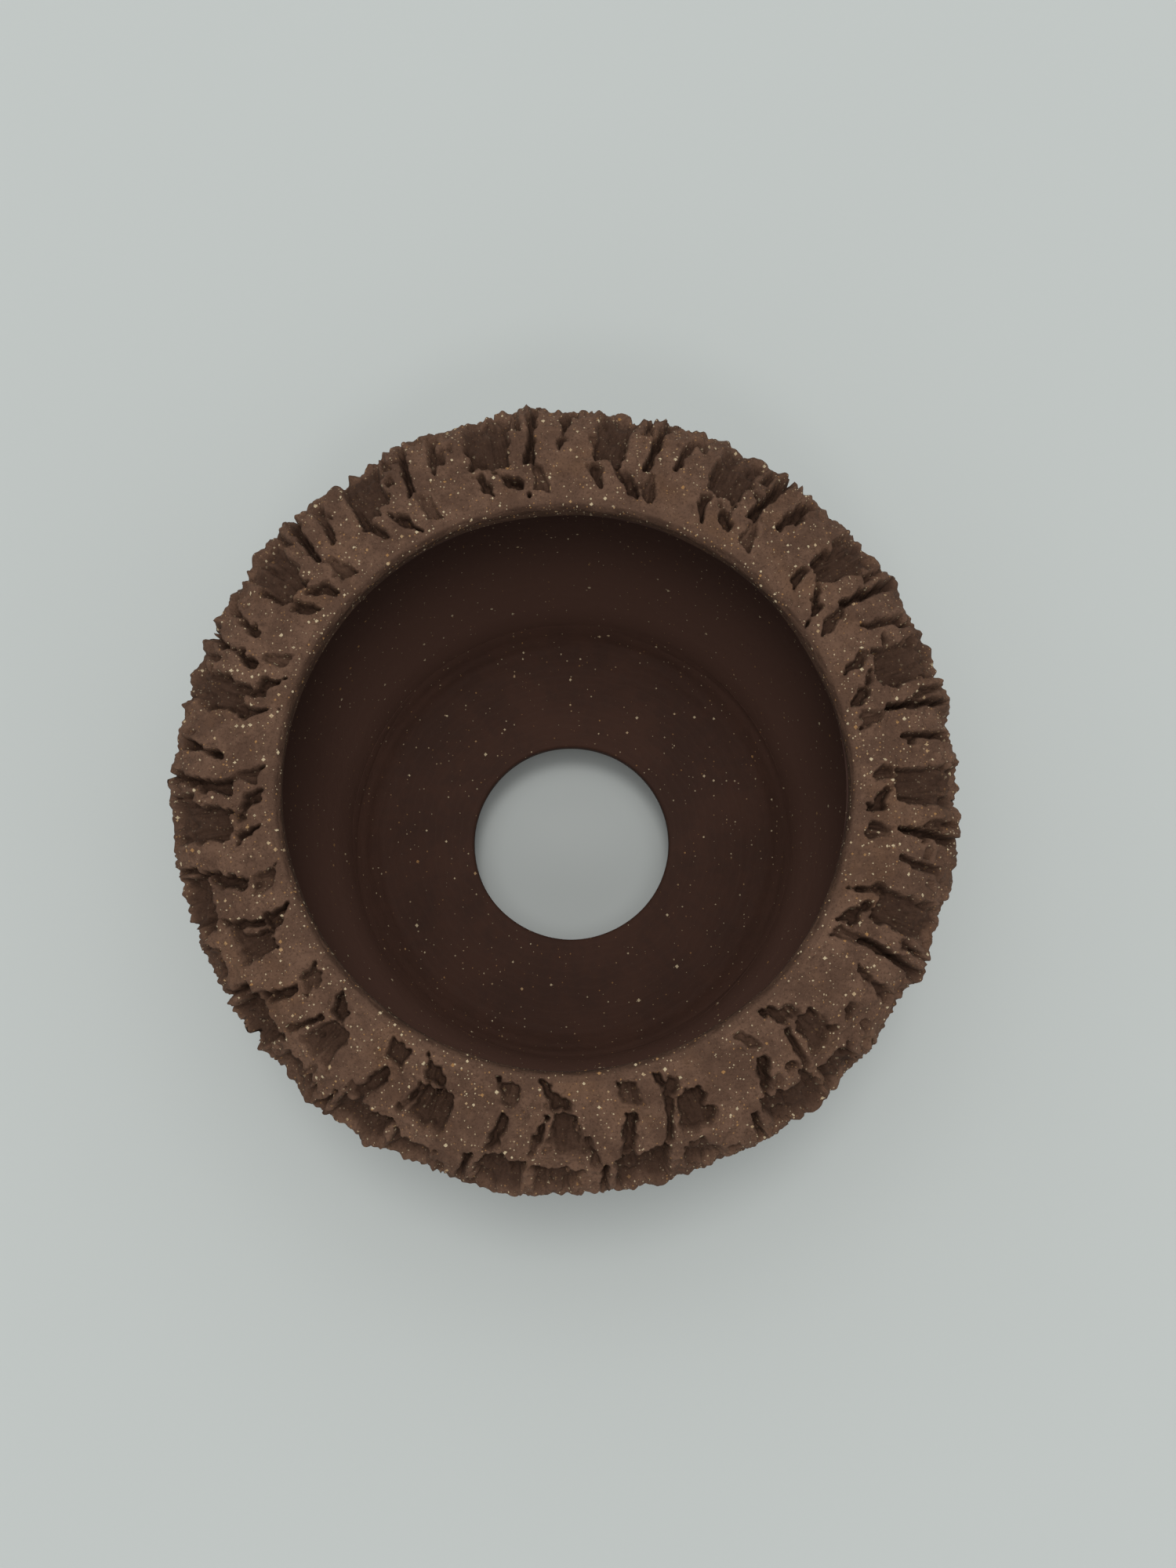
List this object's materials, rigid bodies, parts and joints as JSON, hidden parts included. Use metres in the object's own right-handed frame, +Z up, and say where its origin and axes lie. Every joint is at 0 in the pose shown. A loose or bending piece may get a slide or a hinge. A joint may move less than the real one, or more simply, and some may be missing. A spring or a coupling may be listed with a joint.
{
  "type": "accent plant pot",
  "caption": "Small unglazed stoneware plant pot with a torn, stretched outer skin, a whole lip, a wide round drain hole and clay feet.",
  "frame": {"origin": "on the pot's axis, at the surface that its feet stand on", "axes": "+Z up along the pot's axis, out of its mouth; +Y away from the side that the pot is usually looked at from; +X to that viewer's right"},
  "size_m": [0.1012, 0.1012, 0.062],
  "materials": {
    "torn_clay": "matte unglazed brown stoneware with pale grog, torn into gashes",
    "smooth_clay": "matte unglazed brown stoneware with pale grog, turned and sponged smooth"
  },
  "bodies": {
    "root": {"wall": "torn_clay", "floor": "smooth_clay", "seam_coil": "smooth_clay", "foot_1": "smooth_clay", "foot_2": "smooth_clay", "foot_3": "smooth_clay"}
  },
  "joints": []
}
